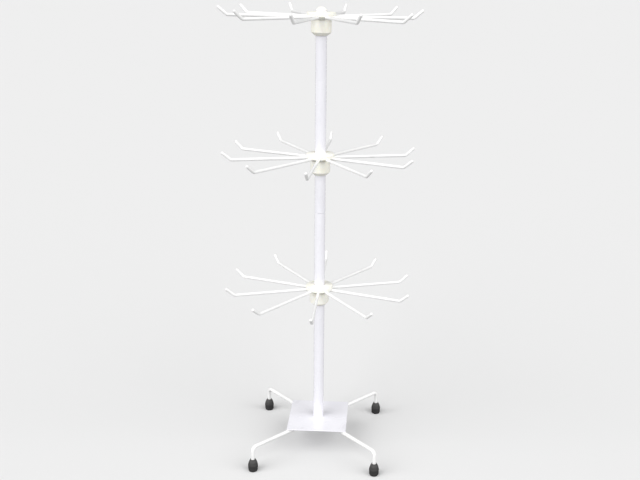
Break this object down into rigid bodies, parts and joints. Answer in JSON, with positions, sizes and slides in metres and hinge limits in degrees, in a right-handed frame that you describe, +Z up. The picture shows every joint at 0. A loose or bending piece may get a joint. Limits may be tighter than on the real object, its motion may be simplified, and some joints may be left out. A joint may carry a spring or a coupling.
{
  "type": "rotating display rack",
  "caption": "Free-standing counter rack: a pole on a splayed four-legged base with rubber feet carries tiers of upturned wire arms, and each tier spins on the pole by itself.",
  "frame": {"origin": "on the floor, on the pole's axis, level with the soles of the feet", "axes": "+Z up along the pole; the plate's sides lie along X and Y; +Y is the back, where the collar screws are"},
  "size_m": [0.2864, 0.2884, 0.6857],
  "materials": {
    "pole_enamel": "gloss",
    "wire_enamel": "gloss",
    "ivory_plastic": "satin",
    "black_rubber": "matte",
    "zinc_steel": "satin"
  },
  "bodies": {
    "stand": {"base_plate": "pole_enamel", "leg_back_right": "wire_enamel", "leg_back_left": "wire_enamel", "leg_front_left": "wire_enamel", "leg_front_right": "wire_enamel", "foot_back_right": "black_rubber", "foot_back_left": "black_rubber", "foot_front_left": "black_rubber", "foot_front_right": "black_rubber", "lower_pole": "pole_enamel", "upper_pole": "pole_enamel", "pole_joiner": "zinc_steel", "pole_end_cap": "ivory_plastic", "pole_foot_nut": "zinc_steel", "base_bolt": "zinc_steel", "base_washer": "zinc_steel", "bottom_collar": "ivory_plastic", "bottom_collar_screw": "zinc_steel", "middle_collar": "ivory_plastic", "middle_collar_screw": "zinc_steel", "top_collar": "ivory_plastic", "top_collar_screw": "zinc_steel"},
    "bottom_tier": {"bottom_hub": "ivory_plastic", "bottom_flange": "ivory_plastic", "bottom_arm_01": "wire_enamel", "bottom_arm_02": "wire_enamel", "bottom_arm_03": "wire_enamel", "bottom_arm_04": "wire_enamel", "bottom_arm_05": "wire_enamel", "bottom_arm_06": "wire_enamel", "bottom_arm_07": "wire_enamel", "bottom_arm_08": "wire_enamel", "bottom_arm_09": "wire_enamel", "bottom_arm_10": "wire_enamel"},
    "middle_tier": {"middle_hub": "ivory_plastic", "middle_flange": "ivory_plastic", "middle_arm_01": "wire_enamel", "middle_arm_02": "wire_enamel", "middle_arm_03": "wire_enamel", "middle_arm_04": "wire_enamel", "middle_arm_05": "wire_enamel", "middle_arm_06": "wire_enamel", "middle_arm_07": "wire_enamel", "middle_arm_08": "wire_enamel", "middle_arm_09": "wire_enamel", "middle_arm_10": "wire_enamel"},
    "top_tier": {"top_hub": "ivory_plastic", "top_flange": "ivory_plastic", "top_arm_01": "wire_enamel", "top_arm_02": "wire_enamel", "top_arm_03": "wire_enamel", "top_arm_04": "wire_enamel", "top_arm_05": "wire_enamel", "top_arm_06": "wire_enamel", "top_arm_07": "wire_enamel", "top_arm_08": "wire_enamel", "top_arm_09": "wire_enamel", "top_arm_10": "wire_enamel"}
  },
  "joints": [
    {"name": "bottom_tier_spin", "type": "hinge", "parent": "stand", "child": "bottom_tier", "pos_m": [0, 0, 0.266], "axis": [0, 0, 1], "continuous": true},
    {"name": "middle_tier_spin", "type": "hinge", "parent": "stand", "child": "middle_tier", "pos_m": [0, 0, 0.472], "axis": [0, 0, 1], "continuous": true},
    {"name": "top_tier_spin", "type": "hinge", "parent": "stand", "child": "top_tier", "pos_m": [0, 0, 0.672], "axis": [0, 0, 1], "continuous": true}
  ]
}
